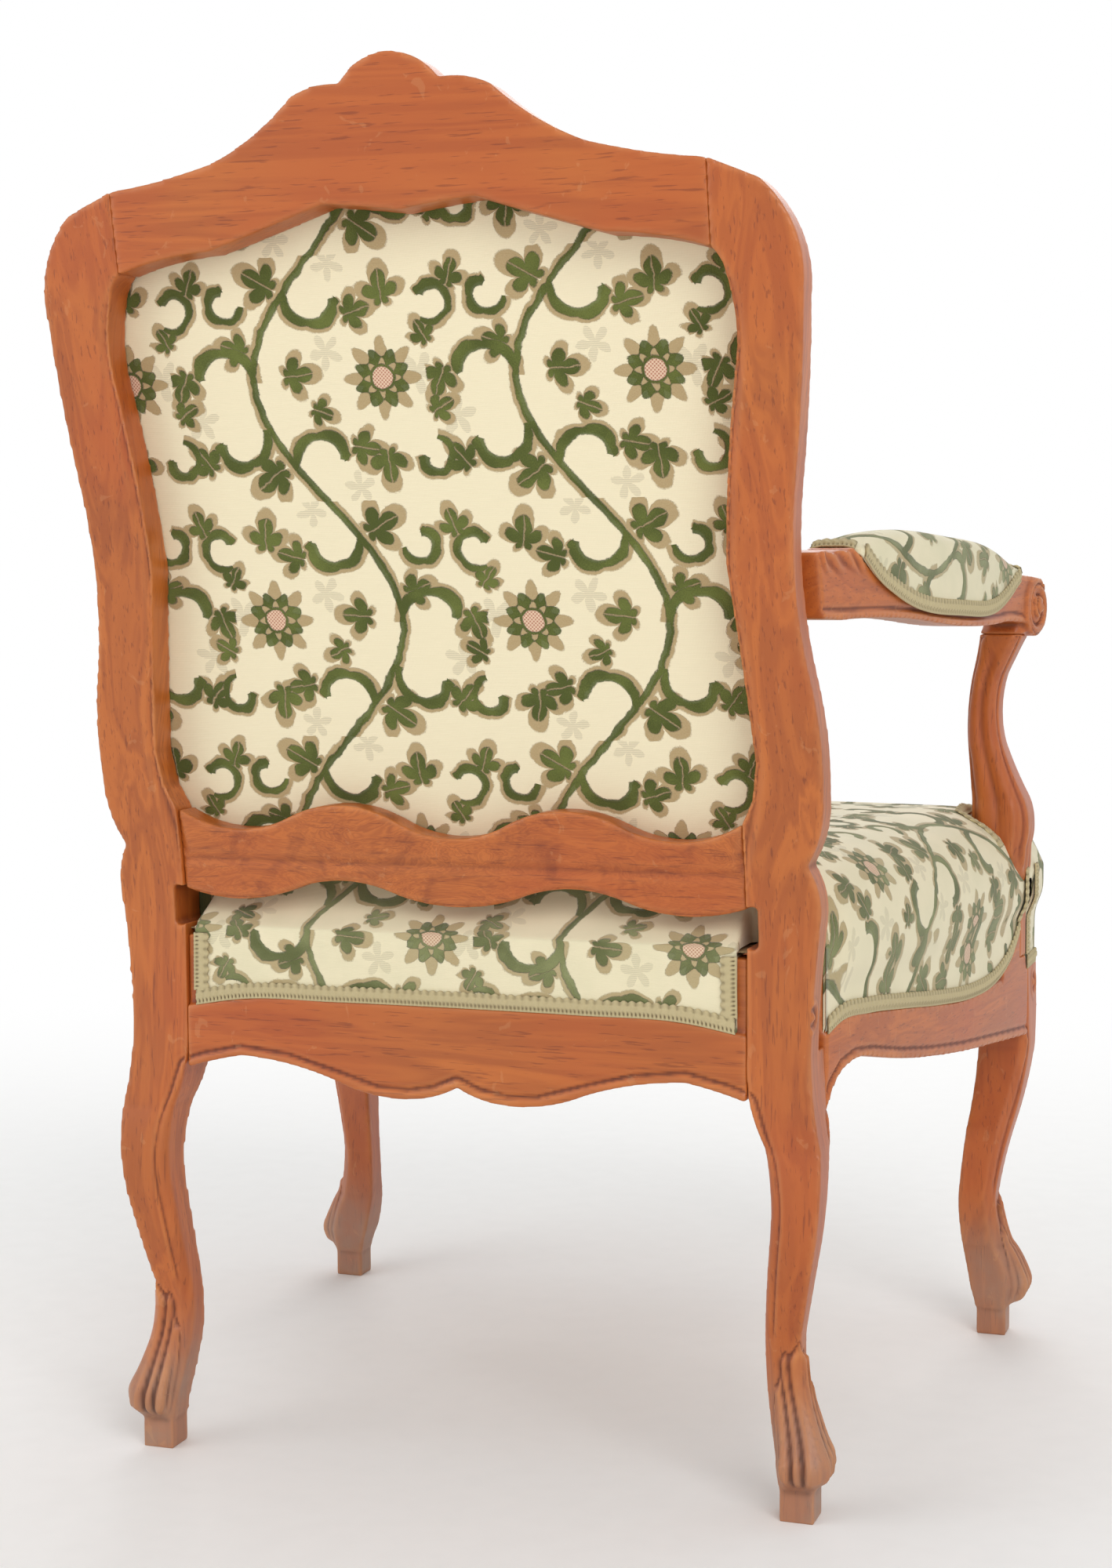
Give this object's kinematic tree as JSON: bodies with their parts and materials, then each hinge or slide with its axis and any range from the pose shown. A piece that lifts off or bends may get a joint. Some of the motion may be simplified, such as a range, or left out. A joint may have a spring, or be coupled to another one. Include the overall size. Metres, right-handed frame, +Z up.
{
  "type": "open armchair",
  "caption": "Open armchair with a carved wooden frame, raked padded back, padded open arms on curved supports and a fixed upholstered seat on scrolled legs.",
  "frame": {"origin": "centre of the bounding box at the floor", "axes": "+Z up, -Y the way the sitter faces, +X towards the sitter's left"},
  "size_m": [0.7, 0.6776, 1],
  "materials": {
    "walnut": "waxed, worn at the edges",
    "beech": "bare",
    "figured_velvet": "cut velvet on a satin ground",
    "plain_velvet": "cut velvet on a satin ground, worn",
    "braid": "looped silk braid",
    "linen": "coarse plain weave",
    "webbing": "herringbone jute",
    "horsehair": "matted hair",
    "steel": "dull"
  },
  "bodies": {
    "root": {"crest_rail": "walnut", "lower_back_rail": "walnut", "rear_seat_rail": "walnut", "front_seat_rail": "walnut", "seat_burlap": "linen", "seat_stuffing": "horsehair", "seat_cover": "figured_velvet", "seat_trim_rear": "braid", "seat_trim_front": "braid", "outside_back_panel": "figured_velvet", "back_webbing_upright": "webbing", "back_webbing_crossing": "webbing", "back_stuffing": "horsehair", "inside_back_cover": "figured_velvet", "inside_back_trim": "braid", "seat_webbing_crosswise": "webbing", "seat_webbing_lengthwise": "webbing", "rear_post_left": "walnut", "side_seat_rail_left": "walnut", "front_leg_left": "walnut", "arm_left": "walnut", "arm_support_left": "walnut", "rear_corner_block_left": "beech", "front_corner_block_left": "beech", "arm_pad_stuffing_left": "horsehair", "arm_pad_cover_left": "plain_velvet", "arm_pad_trim_left": "braid", "seat_trim_side_left": "braid", "screws_left": "steel", "arm_dowel_lower_left": "beech", "arm_dowel_upper_left": "beech", "support_dowel_left": "beech", "rear_post_right": "walnut", "side_seat_rail_right": "walnut", "front_leg_right": "walnut", "arm_right": "walnut", "arm_support_right": "walnut", "rear_corner_block_right": "beech", "front_corner_block_right": "beech", "arm_pad_stuffing_right": "horsehair", "arm_pad_cover_right": "plain_velvet", "arm_pad_trim_right": "braid", "seat_trim_side_right": "braid", "screws_right": "steel", "arm_dowel_lower_right": "beech", "arm_dowel_upper_right": "beech", "support_dowel_right": "beech"}
  },
  "joints": []
}
